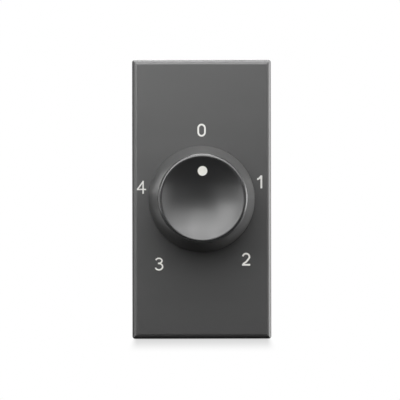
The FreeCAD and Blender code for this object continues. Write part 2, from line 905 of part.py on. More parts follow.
def make_switch_body():
    """The moulded cup of the switch, with the spring's pocket, the stop and the stator wall."""
    shape = rounded_plate(switch_half, switch_half, switch_corner_radius, plate_rear, switch_rear)
    shape = shape.cut(rod(switch_cavity, plate_rear, stator_front))
    half = leaf_span / 2 + pocket_gap
    seat = leaf_height - leaf_seat_gap
    pocket_rear = star_front + leaf_width + pocket_gap
    shape = shape.cut(block(-half, half, plate_rear, pocket_rear, seat, leaf_ceiling))
    shape = shape.cut(block(-leaf_window, leaf_window, plate_rear, pocket_rear, switch_cavity / 2, seat))
    post_inner, post_outer = carrier_radius + stop_gap, switch_cavity + switch_wall / 2
    post = sector(post_inner, post_outer, stop_post_angle, stop_post_half,
                  carrier_front + stop_side_gap, carrier_rear - stop_side_gap)
    shape = shape.fuse(post)
    return shape.cut([rod(journal_radius + stator_running, stator_front, switch_rear)] + contact_slots())


def make_rotor():
    """The moulded rotor: detent star, carrier, stop lug and two pegs for the wiper."""
    star = rod(star_radius, star_front, carrier_front)
    notch = rod(notch_radius, star_front, carrier_front, 0, star_radius + notch_offset)
    star = star.cut([turn(notch, index * position_step) for index in range(position_count)])
    carrier = rod(carrier_radius, carrier_front, carrier_rear)
    lug = sector(shaft_radius + bush_wall, switch_cavity - stop_lug_gap, stop_lug_angle, stop_lug_half,
                 carrier_front, carrier_rear)
    shape = star.fuse([carrier, lug] + wiper_pegs(wiper_peg_radius))
    bore = d_section(shaft_radius + shaft_fit, shaft_flat + shaft_fit, star_front, carrier_rear)
    return shape.cut(bore)


def wiper_pegs(radius):
    """The two pegs that carry the wiper, or the holes for them."""
    places = [polar(wiper_peg_place, angle) for angle in (90, 270)]
    return [rod(radius, carrier_rear, wiper_rear, place.x, place.z) for place in places]


def make_detent_spring():
    """A leaf spring laid across the star, with a round nose in the top notch."""
    nose_top = star_radius + notch_offset - notch_radius + leaf_nose_gap + leaf_nose
    end = leaf_span / 2
    shoulder = leaf_nose + leaf_nose_slope
    points = [V(x, star_front, z) for x, z in ((-end, leaf_height), (-shoulder, leaf_height),
                                               (-leaf_nose, nose_top), (leaf_nose, nose_top),
                                               (shoulder, leaf_height), (end, leaf_height))]
    path = [
        Part.makeLine(points[0], points[1]),
        Part.makeLine(points[1], points[2]),
        Part.Arc(points[2], V(0, star_front, nose_top - leaf_nose), points[3]).toShape(),
        Part.makeLine(points[3], points[4]),
        Part.makeLine(points[4], points[5]),
    ]
    face = Part.Wire(path).makeOffset2D(leaf_thickness, 0, True, True, False)
    return face.extrude(V(0, leaf_width, 0))


def make_wiper():
    """The brass wiper: ring, arm and two contact noses."""
    ring = tube(wiper_ring_radius, journal_radius + wiper_bore_gap, carrier_rear, wiper_rear)
    arm = sector(wiper_ring_radius - wiper_thickness, pad_outer - wiper_arm_inset, 0, wiper_arm_half,
                 carrier_rear, wiper_rear)
    noses = []
    for z in (pad_middle, -common_middle):
        noses.append(Part.makeCone(wiper_nose_radius, wiper_nose_radius / 2,
                                   pad_front - contact_gap - carrier_rear, V(0, carrier_rear, z), BACK))
    return ring.fuse([arm] + noses).cut(wiper_pegs(wiper_peg_radius + shaft_fit))


def make_contact(position):
    """A fixed contact pad at one position of the selector, with its pin through the board."""
    pad = sector(pad_inner, pad_outer, 0, pad_half, pad_front, stator_front)
    return turn(pad.fuse(contact_pin(pad_middle)), position * position_step)


def make_contact_common():
    """The ring contact round the shaft's journal, with its pin through the board."""
    return tube(common_outer, common_inner, pad_front, stator_front).fuse(contact_pin(common_middle))


def lead_places():
    """Where the component leads pass through the board, as x and z pairs."""
    rows = (
        (large_capacitor_z, capacitor_pitch),
        (small_capacitor_z, capacitor_pitch),
        (upper_bleed_z, bleed_pitch),
        (lower_bleed_z, bleed_pitch),
        (surge_z, surge_pitch),
    )
    return [(side * pitch / 2, z) for z, pitch in rows for side in SIDES]


def make_circuit_board():
    """The board, with a hole or slot for each lead, pin and screw."""
    shape = rounded_plate(board_half_x, board_half_z, board_corner_radius, board_front, board_rear)
    holes = [rod(lead_radius + lead_gap, board_front, board_rear, x, z) for x, z in lead_places()]
    holes += board_screw_holes(board_screw_radius + lead_gap, board_front, board_rear)
    leg_half = plate_leg_width / 2 + pin_gap
    leg_outer = switch_half + plate_leg_thickness + 2 * plate_leg_gap
    tail_half = bar_tail_width / 2 + pin_gap
    for side in SIDES:
        holes.append(block(side * switch_half, side * leg_outer, board_front, board_rear,
                           -leg_half, leg_half))
        x = side * terminal_x
        holes.append(block(x - tail_half, x + tail_half, board_front, board_rear,
                           bar_leg_low - pin_gap, bar_leg_high + pin_gap))
    return shape.cut(holes + contact_slots())


def make_board_screws():
    """Two like screws that hold the board on its bosses."""
    rear = board_rear + board_screw_head
    recess_front = rear - board_screw_head / 2
    screws = []
    for side in SIDES:
        x = side * board_screw_x
        head = rod(board_screw_head_radius, board_rear, rear, x, board_screw_z)
        head = head.makeFillet(board_screw_round, edges_in_plane(head, rear))
        shank = rod(board_screw_radius, board_rear - board_screw_length, board_rear, x, board_screw_z)
        slot, width = board_screw_radius, board_screw_cross / 2
        cross = [centred(x, board_screw_z, width, slot, recess_front, rear),
                 centred(x, board_screw_z, slot, width, recess_front, rear)]
        screws.append(head.fuse(shank).cut(cross))
    return Part.makeCompound(screws)


def make_capacitor(z, height):
    """A box capacitor standing on the board, with its two leads."""
    rear = body_depth - capacitor_rear_gap
    case = centred(0, z, capacitor_half_x, height / 2, board_rear, rear)
    soft = [edge for edge in case.Edges if edge.BoundBox.YMax > board_rear + TINY]
    shape = case.makeFillet(capacitor_radius, soft)
    leads = [rod(lead_radius, board_front + pin_end_gap, board_rear, side * capacitor_pitch / 2, z)
             for side in SIDES]
    return shape.fuse(leads)


def bent_lead(side, start_x, knee_x, y, z):
    """A wire that runs out along X and bends back through the board."""
    drop = lead_bend * (1 - math.sqrt(0.5))
    start = V(side * start_x, y, z)
    bend_start = V(side * (knee_x - lead_bend), y, z)
    bend_middle = V(side * (knee_x - drop), y + drop, z)
    bend_end = V(side * knee_x, y + lead_bend, z)
    path = Part.Wire([
        Part.makeLine(start, bend_start),
        Part.Arc(bend_start, bend_middle, bend_end).toShape(),
        Part.makeLine(bend_end, V(side * knee_x, pin_rear, z)),
    ])
    section = Part.Wire([Part.makeCircle(lead_radius, start, V(side, 0, 0))])
    return path.makePipeShell([section], True, True)


def make_resistor(z, radius, length, pitch):
    """An axial resistor in front of the board, with both leads bent back through it."""
    y = board_front - resistor_gap - radius
    half = length / 2
    start = V(-half, y, z)
    body = Part.makeCylinder(radius, length, start, ACROSS)
    ends = [edge for edge in body.Edges if abs(abs(edge.CenterOfMass.x) - half) < TINY]
    body = body.makeFillet(radius / 3, ends)
    waist_start = start + V(resistor_end, 0, 0)
    waist = Part.makeCylinder(2 * radius, length - 2 * resistor_end, waist_start, ACROSS)
    core = Part.makeCylinder(radius - resistor_waist, length, start, ACROSS)
    leads = [bent_lead(side, half - resistor_waist, pitch / 2, y, z) for side in SIDES]
    return body.cut(waist.cut(core)).fuse(leads)


def make_terminal_bar(side):
    """The brass bar in a terminal, with a leg bent down to the board."""
    end = terminal_z - chamber_half_z + cage_end_gap
    points = [
        (board_front, bar_leg_low),
        (board_front, bar_leg_high),
        (bar_rear, bar_leg_high),
        (bar_rear, end),
        (bar_front, end),
        (bar_front, bar_leg_low),
    ]
    x = side * terminal_x
    shape = profile_yz(points, x - bar_half_x, x + bar_half_x)
    inside = lambda centre: abs(centre.y - bar_front) < TINY and abs(centre.z - bar_leg_low) < TINY
    shape = shape.makeFillet(bar_bend, edges_along(shape, ACROSS, inside))
    outside = lambda centre: abs(centre.y - bar_rear) < TINY and abs(centre.z - bar_leg_high) < TINY
    shape = shape.makeFillet(bar_bend + bar_thickness * 0.8, edges_along(shape, ACROSS, outside))
    shoulders = []
    for edge_side in SIDES:
        shoulders.append(block(x + edge_side * bar_tail_width / 2, x + edge_side * 2 * bar_half_x,
                               board_front, board_rear + block_gap, bar_leg_low, bar_leg_high))
    return shape.cut(shoulders)


def make_terminal_cage(side):
    """The steel cage that lifts the wire against the bar, with its threaded hole and grip grooves."""
    x = side * terminal_x
    low, high = terminal_z - cage_length / 2, terminal_z + cage_length / 2
    shape = block(x - cage_half_x, x + cage_half_x, cage_front, cage_rear, low, high)
    shape = shape.makeFillet(cage_corner_radius, edges_along(shape, UP))
    left, right = x - cage_window_half, x + cage_window_half
    cuts = [
        block(left, right, floor_rear, cage_window_rear, low, high),
        rod(screw_radius + screw_fit, cage_window_rear, cage_rear, x, terminal_z),
    ]
    pitch = cage_length / (cage_groove_count + 1)
    for index in range(1, cage_groove_count + 1):
        z = low + index * pitch - cage_groove_width / 2
        cuts.append(block(left, right, floor_rear - cage_groove, floor_rear, z, z + cage_groove_width))
    return shape.cut(cuts)


def make_terminal_screw(side):
    """The captive clamping screw of a terminal."""
    x = side * terminal_x
    tip = bar_rear + screw_tip_gap
    head = rod(screw_head_radius, head_front, head_rear, x, terminal_z)
    head = head.makeChamfer(screw_chamfer, edges_in_plane(head, head_rear))
    shank = rod(screw_radius, tip, head_front, x, terminal_z)
    shank = shank.makeChamfer(screw_chamfer, edges_in_plane(shank, tip))
    slot_front = head_rear - screw_slot_depth
    slot = centred(x, terminal_z, screw_slot_width / 2, screw_head_radius, slot_front, head_rear)
    return head.fuse(shank).cut(slot)


def make_terminal_block():
    """The moulding with both cage chambers, the bar slots and the two wire entries."""
    shape = block(-block_half_x, block_half_x, board_rear, block_rear, block_low, block_top)
    spout_low = -body_half_z + spout_recess
    spout_rear = body_depth - spout_recess
    shape = shape.fuse(block(-spout_half, spout_half, spout_front, spout_rear, spout_low, block_low))
    chamber_low = terminal_z - chamber_half_z
    slot = bar_half_x + bar_slot_gap
    cuts = []
    for side in SIDES:
        x = side * terminal_x
        left, right = x - chamber_half_x, x + chamber_half_x
        cuts.append(block(left, right, board_rear, chamber_rear, chamber_low, chamber_top))
        slot_rear = bar_rear + bar_slot_gap
        cuts.append(block(x - slot, x + slot, board_rear, slot_rear, chamber_top, block_top))
        cuts.append(rod(screw_radius + screw_hole_gap, chamber_rear, block_rear, x, terminal_z))
        mouth = V(x, entry_y, spout_low)
        cuts.append(Part.makeCylinder(entry_radius, chamber_low - spout_low, mouth, UP))
        funnel = Part.makeCone(entry_radius + entry_funnel, entry_radius, entry_funnel_depth, mouth, UP)
        cuts.append(funnel)
    return shape.cut(cuts)


def main():
    """Build every piece and write it to its own file."""
    os.makedirs("parts", exist_ok=True)
    save(make_front_cover(), "front_cover")
    save(make_housing(), "housing")
    save(make_rear_cover(), "rear_cover")
    save(make_knob(), "knob")
    save(make_pointer_dot(), "pointer_dot")
    save(make_grip_spring(), "knob_grip_spring")
    save(make_shaft(), "shaft")
    save(make_clip(), "retaining_clip")
    save(make_switch_plate(), "switch_plate")
    save(make_lock_washer(), "lock_washer")
    save(make_bush_nut(), "bush_nut")
    save(make_switch_body(), "switch_body")
    save(make_rotor(), "rotor")
    save(make_detent_spring(), "detent_spring")
    save(make_wiper(), "wiper")
    save(make_contact_common(), "contact_common")
    for position in range(1, position_count):
        save(make_contact(position), f"contact_{position}")
    save(make_circuit_board(), "circuit_board")
    save(make_board_screws(), "board_screws")
    save(make_capacitor(large_capacitor_z, large_capacitor_height), "capacitor_large")
    save(make_capacitor(small_capacitor_z, small_capacitor_height), "capacitor_small")
    save(make_resistor(upper_bleed_z, bleed_radius, bleed_length, bleed_pitch), "bleed_resistor_upper")
    save(make_resistor(lower_bleed_z, bleed_radius, bleed_length, bleed_pitch), "bleed_resistor_lower")
    save(make_resistor(surge_z, surge_radius, surge_length, surge_pitch), "surge_resistor")
    save(make_terminal_block(), "terminal_block")
    for name, side in (("line", -1), ("load", 1)):
        save(make_terminal_bar(side), f"{name}_terminal_bar")
        save(make_terminal_cage(side), f"{name}_terminal_cage")
        save(make_terminal_screw(side), f"{name}_terminal_screw")


main()
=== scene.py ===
import math

import bpy
import numpy as np
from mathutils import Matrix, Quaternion, Vector

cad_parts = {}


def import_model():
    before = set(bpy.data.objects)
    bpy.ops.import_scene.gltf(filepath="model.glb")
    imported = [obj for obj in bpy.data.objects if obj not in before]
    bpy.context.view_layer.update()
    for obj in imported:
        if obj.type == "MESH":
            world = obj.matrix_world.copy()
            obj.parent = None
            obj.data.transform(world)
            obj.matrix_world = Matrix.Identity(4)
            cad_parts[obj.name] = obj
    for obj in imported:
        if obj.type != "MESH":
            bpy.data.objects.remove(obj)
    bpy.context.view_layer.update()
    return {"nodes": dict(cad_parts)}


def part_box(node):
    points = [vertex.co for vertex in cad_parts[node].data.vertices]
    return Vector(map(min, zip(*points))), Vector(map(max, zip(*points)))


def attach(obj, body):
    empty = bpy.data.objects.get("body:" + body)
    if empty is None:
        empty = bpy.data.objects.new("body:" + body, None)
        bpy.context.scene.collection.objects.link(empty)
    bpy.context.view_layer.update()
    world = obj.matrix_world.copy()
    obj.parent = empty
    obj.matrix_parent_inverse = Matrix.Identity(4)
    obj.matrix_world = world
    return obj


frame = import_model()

# The looks of a fan speed control switch. X points right, Y back into the wall and Z up, in metres.
# The sizes that are named here are in millimetres, and colours are linear.
MM = 0.001
cover_low, cover_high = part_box("front_cover")
face_y = cover_low.y
floor_z = cover_low.z

# Radius on the knob where the smooth dish ends and its polished rim begins
dish_edge = 6.8

# The numerals: height and thickness of the print, then the middle and the stroke of each one on the face
numeral_height = 2.08
print_thickness = 0.02
print_overlap = 0.003
numerals = {
    "0": (-0.01, 11.12, 0.27),
    "1": (9.35, 2.765, 0.29),
    "2": (7.14, -9.69, 0.285),
    "3": (-6.89, -10.445, 0.235),
    "4": (-9.70, 1.93, 0.22),
}

# The resistors: half the length of each body and half the width of a band
bleed_half = 3.0
surge_half = 5.5
band_half = 0.28
band_colours = {
    "yellow": (0.75, 0.55, 0.03),
    "violet": (0.16, 0.05, 0.30),
    "red": (0.50, 0.02, 0.02),
    "black": (0.01, 0.01, 0.01),
    "gold": (0.45, 0.28, 0.08),
}

# The threads: the depth of their relief, the screws' pitch, least radius and head, and the bush's pitch,
# radius, thread height and threaded length
thread_depth = 0.3
screw_pitch = 0.6
screw_core = 1.0
screw_head = 1.6
bush_pitch = 0.75
bush_radius = 4.0
bush_height = 0.4
bush_length = 5.0

# The depth of the capacitors' resin, the board's sawn edge, and the X, Z and radius of the rear cover's gate
resin_depth = 0.40
sawn_edge = 0.04
gate_place = (0.0, 1.0)
gate_radius = 1.1

# Colours that several pieces share: one for the tinned wires, and from dark to light for the others
tinned = (0.62, 0.62, 0.60)
housing_black = ((0.026, 0.026, 0.027), (0.038, 0.038, 0.040))
zinc = ((0.58, 0.60, 0.62), (0.72, 0.73, 0.74))

# The painted shadow in front: its length, depth and lean, how far it stays inside the cover's sides and how
# much more for each millimetre ahead, and the width of its soft edge, likewise
shadow_length = 85.0
shadow_depth = 0.31
shadow_lean = 0.014
shadow_inset = 0.8
shadow_narrowing = 0.02
shadow_edge = 0.9
shadow_softening = 0.015

# The painted contact shadow's reach and depth, and half the floor's width
contact_length = 6.0
contact_depth = 0.35
floor_half = 1500.0

# The camera: its direction, its distance and where the face's middle falls in the picture
view_azimuth = -0.8
view_elevation = -0.8
view_roll = -0.1
view_distance = 600.0
picture_pixels = 400
pixels_per_mm = 6.205
face_middle_pixel = (201.75, 199.15)
sensor_width = 36.0

# Strength of the room's light below and above
world_low = 0.01
world_high = 0.03

# The lamps: azimuth and elevation seen from the object, distance and size in millimetres, light at the face
lamps = {
    "overhead": (0, 85, 500, 260, 1.93),
    "top": (0, 60, 500, 260, 0.28),
    "near_top": (0, 45, 130, 60, 0.35),
    "near_front": (0, 20, 130, 60, 0.07),
    "near_left_high": (-30, 45, 130, 60, 0.72),
    "near_right_high": (30, 45, 130, 60, 0.49),
    "near_left": (-30, 20, 130, 60, 0.87),
    "near_right": (30, 20, 130, 60, 0.07),
    "front_high": (0, 30, 500, 260, 0.74),
    "right_high": (30, 30, 500, 260, 0.48),
    "far_right_high": (60, 30, 500, 260, 0.32),
    "left_front": (-30, 0, 500, 260, 0.16),
    "right_front": (30, 0, 500, 260, 0.04),
    "left_level": (-60, 0, 500, 260, 0.51),
    "right_level": (60, 0, 500, 260, 0.42),
    "left_side": (-90, 0, 500, 260, 0.30),
    "right_side": (90, 0, 500, 260, 1.80),
    "right_rear": (120, 10, 500, 260, 0.64),
    "right_rear_low": (120, -20, 500, 260, 0.42),
    "left_rear_low": (-150, -20, 500, 260, 0.22),
    "left_rear": (-150, 20, 500, 260, 0.60),
    "rear": (180, 20, 500, 260, 0.50),
    "rear_high": (195, 45, 500, 260, 1.80),
}


class Signal:
    """One socket of a finish's nodes, with arithmetic that adds Math nodes."""

    def __init__(self, finish, socket):
        self.finish = finish
        self.socket = socket

    def reckon(self, operation, *terms):
        """One Math node of that operation on the terms, which are signals or numbers."""
        made = self.finish.node("ShaderNodeMath", {"operation": operation}, dict(enumerate(terms)))
        return Signal(self.finish, made.outputs[0])

    def __add__(self, other):
        return self.reckon("ADD", self, other)

    __radd__ = __add__

    def __sub__(self, other):
        return self.reckon("SUBTRACT", self, other)

    def __rsub__(self, other):
        return self.reckon("SUBTRACT", other, self)

    def __mul__(self, other):
        return self.reckon("MULTIPLY", self, other)

    __rmul__ = __mul__

    def __truediv__(self, other):
        return self.reckon("DIVIDE", self, other)

    def __abs__(self):
        return self.reckon("ABSOLUTE", self)

    def root(self):
        return self.reckon("SQRT", self)

    def over(self, low, high):
        """0 below low, 1 above high and a smooth step between them."""
        settings = {"interpolation_type": "SMOOTHSTEP"}
        made = self.finish.node("ShaderNodeMapRange", settings, {0: self, 1: low, 2: high, 3: 0.0, 4: 1.0})
        return Signal(self.finish, made.outputs[0])


class Nodes:
    """A node tree, with one method that fills a socket and one that adds a node."""

    def __init__(self, tree):
        self.tree = tree

    def feed(self, socket, value):
        """Gives a socket a link if value is a signal or another socket, and otherwise the value itself."""
        if isinstance(value, Signal):
            value = value.socket
        if isinstance(value, bpy.types.NodeSocket):
            self.tree.links.new(value, socket)
        elif isinstance(value, (tuple, list)) and socket.type == "RGBA":
            socket.default_value = (*value, 1.0)
        else:
            socket.default_value = value

    def node(self, kind, settings, inputs):
        """Adds a node: first its settings, then the values or links of its sockets."""
        made = self.tree.nodes.new(kind)
        for name, value in settings.items():
            setattr(made, name, value)
        for key, value in inputs.items():
            self.feed(made.inputs[key], value)
        return made


class Finish(Nodes):
    """A material with one Principled shader. Its patterns are measured in millimetres on the object."""

    def __init__(self, name, **constants):
        self.material = bpy.data.materials.new(name)
        self.material.use_nodes = True
        super().__init__(self.material.node_tree)
        self.shader = self.tree.nodes["Principled BSDF"]
        self.set(constants)

    def set(self, values):
        """Sets the shader's sockets. A name's underscores stand for spaces."""
        for name, value in values.items():
            self.feed(self.shader.inputs[name.replace("_", " ")], value)

    def place(self):
        """The point on the object, in millimetres."""
        at = self.node("ShaderNodeTexCoord", {}, {})
        inputs = {0: at.outputs["Object"], "Scale": 1 / MM}
        scaled = self.node("ShaderNodeVectorMath", {"operation": "SCALE"}, inputs)
        return Signal(self, scaled.outputs[0])

    def along(self):
        """The point's three coordinates in millimetres, as signals."""
        split = self.node("ShaderNodeSeparateXYZ", {}, {0: self.place()})
        return [Signal(self, output) for output in split.outputs]

    def noise(self, size, detail, stretch=(1.0, 1.0, 1.0), distortion=0.0):
        """Noise from 0 to 1 whose grains are about size millimetres, stretched along the axes."""
        scale = Vector(1 / (size * s) for s in stretch)
        moved = self.node("ShaderNodeVectorMath", {"operation": "MULTIPLY"}, {0: self.place(), 1: scale})
        inputs = {"Vector": moved.outputs[0], "Scale": 1.0, "Detail": detail, "Distortion": distortion}
        made = self.node("ShaderNodeTexNoise", {}, inputs)
        return Signal(self, made.outputs[0])

    def mixed(self, share, first, second):
        """A colour between two colours, by a share from 0 to 1."""
        made = self.node("ShaderNodeMix", {"data_type": "RGBA"}, {0: share, 6: first, 7: second})
        return Signal(self, made.outputs[2])

    def relief(self, height, depth, under=None):
        """A bump whose full height is depth millimetres, on top of another bump if one is given."""
        inputs = {"Strength": 1.0, "Distance": depth * MM, "Height": height}
        if under is not None:
            inputs["Normal"] = under
        made = self.node("ShaderNodeBump", {}, inputs)
        return Signal(self, made.outputs[0])


def satin_shell():
    """The front cover's graphite plastic: an even satin with a fine spark-eroded grain."""
    finish = Finish("graphite_satin", Specular_IOR_Level=1.0)
    grain = finish.noise(0.14, 3.0)
    flow = finish.noise(7.0, 3.0, (3.0, 1.0, 0.6))
    finish.set({
        "Base Color": finish.mixed(flow, (0.036, 0.036, 0.036), (0.044, 0.044, 0.044)),
        "Roughness": 0.35 + 0.04 * grain + 0.03 * flow,
        "Normal": finish.relief(grain, 0.003),
    })
    return finish


def knob_satin():
    """The knob's graphite plastic: a grained skirt, a polished rim and a smoother dish. The skirt's colour
    is lighter as painted light and the dish's darker as painted shade.
    """
    finish = Finish("graphite_knob", Specular_IOR_Level=1.0)
    x, y, z = finish.along()
    radius = (x * x + z * z).root()
    skirt = radius.over(dish_edge, dish_edge + 0.25)
    rim = radius.over(dish_edge - 0.1, dish_edge) * (1 - radius.over(dish_edge + 0.25, dish_edge + 0.45))
    grain = finish.noise(0.14, 3.0)
    flow = finish.noise(5.0, 3.0, (3.0, 1.0, 0.6))
    # Painted shade and painted light: the dish gets a darker colour and the skirt a lighter one, for how
    # light falls on each.
    dish_painted_shade = finish.mixed(flow, (0.018, 0.018, 0.0185), (0.022, 0.022, 0.0225))
    skirt_painted_light = finish.mixed(flow, (0.047, 0.047, 0.047), (0.053, 0.053, 0.053))
    finish.set({
        "Base Color": finish.mixed(skirt, dish_painted_shade, skirt_painted_light),
        "Roughness": 0.27 + 0.12 * skirt - 0.13 * rim + 0.04 * grain + 0.02 * flow,
        "Normal": finish.relief(grain, 0.002),
    })
    return finish


def print_white():
    """The off-white ink of the numerals, a little uneven in its cover, with painted light that makes the
    lower ones lighter.
    """
    finish = Finish("numeral_ink")
    x, y, z = finish.along()
    patch = finish.noise(0.25, 3.0)
    # Painted light: the ink is lighter towards the bottom of the face, where less light falls on it.
    lower_painted_light = 1 - z.over(-10, 3)
    finish.set({
        "Base Color": finish.mixed(0.8 * lower_painted_light + 0.2 * patch, (0.58, 0.575, 0.555), (0.91, 0.90, 0.85)),
        "Roughness": 0.45 + 0.15 * patch,
        "Normal": finish.relief(patch, 0.004),
    })
    return finish


def inlay_white():
    """The white plastic of the pointer dot."""
    finish = Finish("pointer_white")
    patch = finish.noise(0.4, 2.0)
    finish.set({
        "Base Color": finish.mixed(patch, (0.84, 0.83, 0.77), (0.90, 0.89, 0.83)),
        "Roughness": 0.32 + 0.06 * patch,
        "Normal": finish.relief(patch, 0.003),
    })
    return finish


def moulded(name, dark, light, roughness, gate=None):
    """A moulded plastic with a grain, slow flow marks and uneven gloss. If its gate shows, the gate's place
    in X and Z is given, and a round scar is sunk there."""
    finish = Finish(name)
    grain = finish.noise(0.2, 3.0)
    flow = finish.noise(7.0, 3.0, (1.0, 0.4, 1.0), 0.6)
    normal = finish.relief(grain, 0.006)
    if gate is not None:
        x, y, z = finish.along()
        x, z = x - gate[0], z - gate[1]
        away = (x * x + z * z).root()
        normal = finish.relief(away.over(gate_radius - 0.1, gate_radius), 0.08, normal)
    finish.set({
        "Base Color": finish.mixed(flow, dark, light),
        "Roughness": roughness + 0.10 * grain + 0.06 * flow,
        "Normal": normal,
    })
    return finish


def banded(name, half, bands):
    """A resistor along X: a lacquered body with colour bands, and tinned wires beyond its ends. Each band
    has its place, as a share of half the body's length, and its colour."""
    finish = Finish(name, Coat_Weight=0.4, Coat_Roughness=0.12)
    x, y, z = finish.along()
    uneven = finish.noise(0.35, 3.0)
    colour = finish.mixed(uneven, (0.10, 0.22, 0.27), (0.14, 0.28, 0.33))
    for place, band in bands:
        ring = 1 - abs(x - place * half).over(band_half - 0.04, band_half + 0.04)
        colour = finish.mixed(ring, colour, band_colours[band])
    wire = abs(x).over(half, half + 0.05)
    finish.set({
        "Base Color": finish.mixed(wire, colour, tinned),
        "Metallic": wire,
        "Roughness": 0.22 + 0.10 * uneven + 0.08 * wire,
        "Normal": finish.relief(uneven, 0.02),
    })
    return finish


def potted_case():
    """The box capacitors: a moulded case, the resin that closes it at the board, and tinned leads."""
    finish = Finish("capacitor_grey")
    board_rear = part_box("circuit_board")[1].y / MM
    x, y, z = finish.along()
    grain = finish.noise(0.25, 3.0)
    flow = finish.noise(6.0, 3.0, (1.0, 0.4, 1.0), 0.6)
    case = finish.mixed(flow, (0.050, 0.055, 0.062), (0.068, 0.074, 0.082))
    resin = 1 - y.over(board_rear + resin_depth, board_rear + resin_depth + 0.05)
    lead = 1 - y.over(board_rear - 0.06, board_rear - 0.02)
    colour = finish.mixed(resin, case, finish.mixed(grain, (0.16, 0.045, 0.03), (0.22, 0.07, 0.045)))
    finish.set({
        "Base Color": finish.mixed(lead, colour, tinned),
        "Metallic": lead,
        "Roughness": 0.34 + 0.10 * grain + 0.06 * flow - 0.12 * resin,
        "Normal": finish.relief(grain, 0.008),
    })
    return finish


def laminate():
    """The circuit board's brown paper laminate: pressed fibres, specks of resin and pale sawn edges."""
    finish = Finish("board_laminate_brown")
    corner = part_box("circuit_board")[1] / MM
    x, y, z = finish.along()
    fibre = finish.noise(0.22, 4.0, (5.0, 1.0, 0.6))
    speck = finish.noise(0.5, 2.0).over(0.62, 0.70)
    side = abs(x).over(corner.x - sawn_edge, corner.x - sawn_edge / 2)
    sawn = side + abs(z).over(corner.z - sawn_edge, corner.z - sawn_edge / 2)
    body = finish.mixed(fibre, (0.20, 0.105, 0.04), (0.31, 0.175, 0.07))
    body = finish.mixed(0.5 * speck, body, (0.12, 0.06, 0.025))
    finish.set({
        "Base Color": finish.mixed(0.6 * sawn, body, (0.42, 0.30, 0.17)),
        "Roughness": 0.34 + 0.14 * fibre + 0.25 * sawn,
        "Normal": finish.relief(fibre, 0.012),
    })
    return finish


def metal(name, dark, light, roughness, stretch, thread=None):
    """A metal with drawn or rolled scratches along the stretched axis and a faint tarnish. A thread is given
    by the X and Z of its axis, its pitch, the least radius that carries it and the Y where it ends. Its
    height is a triangle wave of y over the pitch plus the turn about the axis, with painted shade in the
    roots."""
    finish = Finish(name, Metallic=1.0)
    scratches = finish.noise(0.05, 3.0, stretch)
    tarnish = finish.noise(1.6, 3.0)
    colour = finish.mixed(tarnish, dark, light)
    normal = finish.relief(scratches, 0.002)
    if thread is not None:
        at_x, at_z, pitch, least, end = thread
        x, y, z = finish.along()
        x, z = x - at_x, z - at_z
        turn = x.reckon("ARCTAN2", x, z) / (2 * math.pi)
        wave = y / pitch + turn
        crest = 1 - abs(2 * wave.reckon("FRACT", wave) - 1)
        carried = (x * x + z * z).root().over(least - 0.05, least) * (1 - y.over(end - 0.15, end - 0.05))
        # Painted shade: the roots of the thread are darkened, as the shade that falls in them.
        colour = finish.mixed(carried * (1 - crest), colour, [0.45 * value for value in dark])
        normal = finish.relief(crest * carried, thread_depth, normal)
    finish.set({
        "Base Color": colour,
        "Roughness": roughness + 0.14 * scratches + 0.08 * tarnish,
        "Normal": normal,
    })
    return finish


def terminal_screw(name):
    """The zinc plated screw of one terminal, threaded up to its head."""
    low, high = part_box(f"{name}_terminal_screw")
    middle = (low + high) / (2 * MM)
    thread = (middle.x, middle.z, screw_pitch, screw_core, high.y / MM - screw_head)
    return metal(f"{name}_screw_zinc", *zinc, 0.24, (8, 1, 8), thread)


def arc(centre, radius_x, radius_z, start, end, count=24):
    """Points on an ellipse about centre, from the angle start to end in degrees, 0 being right and 90 up."""
    t = np.radians(np.linspace(start, end, count))
    return np.c_[centre[0] + radius_x * np.cos(t), centre[1] + radius_z * np.sin(t)]


def ribbon(path, width):
    """The two sides of a flat band: each point of a path plus and minus half the width times its normal."""
    path = np.array(path, float)
    step = np.gradient(path, axis=0)
    if np.allclose(path[0], path[-1]):
        step[0] = step[-1] = path[1] - path[-2]
    normal = np.c_[-step[:, 1], step[:, 0]] / np.linalg.norm(step, axis=1)[:, None]
    return path + normal * width / 2, path - normal * width / 2


def raised(paths, stroke, place, name, material):
    """One mesh of flat closed bands on the cover's face, one for each path. Across a path a band runs from
    the face up its left side, over the top, down its right side and back under itself. Each band is
    print_overlap higher than the one before, so that crossing strokes never share a plane."""
    points, faces, base = [], [], 0
    for index, path in enumerate(paths):
        left, right = ribbon(path, stroke)
        round_stroke = np.allclose(path[0], path[-1])
        if round_stroke:
            left, right = left[:-1], right[:-1]
        n = len(left)
        top = print_thickness + index * print_overlap
        for edge, height in ((left, 0.0), (left, top), (right, top), (right, 0.0)):
            depth = np.full(n, face_y / MM - height)
            points.append(np.c_[edge[:, 0] + place[0], depth, edge[:, 1] + place[1]])
        here = np.arange(n if round_stroke else n - 1)
        after = (here + 1) % n
        for row in range(4):
            a, b = base + row * n, base + (row + 1) % 4 * n
            faces.extend(np.c_[a + here, b + here, b + after, a + after].tolist())
        if not round_stroke:
            first = [base + row * n for row in (3, 2, 1, 0)]
            last = [base + row * n + n - 1 for row in (0, 1, 2, 3)]
            faces += [first, last]
        base += 4 * n
    mesh = bpy.data.meshes.new(name)
    mesh.from_pydata((np.vstack(points) * MM).tolist(), [], faces)
    mesh.materials.append(material)
    made = bpy.data.objects.new(name, mesh)
    bpy.context.scene.collection.objects.link(made)
    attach(made, "casing")


